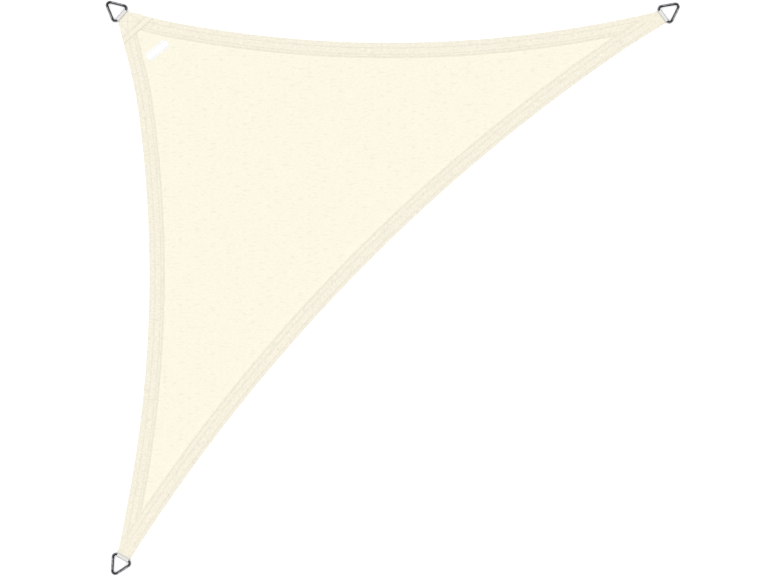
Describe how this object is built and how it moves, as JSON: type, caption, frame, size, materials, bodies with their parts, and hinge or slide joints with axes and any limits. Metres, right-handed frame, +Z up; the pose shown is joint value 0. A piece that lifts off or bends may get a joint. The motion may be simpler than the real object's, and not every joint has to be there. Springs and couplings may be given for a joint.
{
  "type": "triangular shade sail",
  "caption": "Flat triangular shade sail of knitted cloth with hollow hemmed edges and a steel ring held in a webbing loop at every corner, laid out face up.",
  "frame": {"origin": "middle of the footprint, on the surface that the sail lies on", "axes": "+Z up out of the sail's face, +X to the right along its top edge, +Y up along its left edge, with the square corner at -X +Y"},
  "size_m": [2.0082, 2.0088, 0.0126],
  "materials": {
    "knitted_cloth": "matte cream knitted polyethylene tape",
    "woven_webbing": "off-white woven webbing",
    "bent_steel_wire": "bright polished round wire, bent and butt welded",
    "woven_tag": "white woven ribbon, blank but for plain stripes"
  },
  "bodies": {
    "root": {"sail_cloth": "knitted_cloth", "corner_patch": "knitted_cloth", "loop_square": "woven_webbing", "loop_lower": "woven_webbing", "loop_right": "woven_webbing", "ring_square": "bent_steel_wire", "ring_lower": "bent_steel_wire", "ring_right": "bent_steel_wire", "label_tag": "woven_tag"}
  },
  "joints": []
}
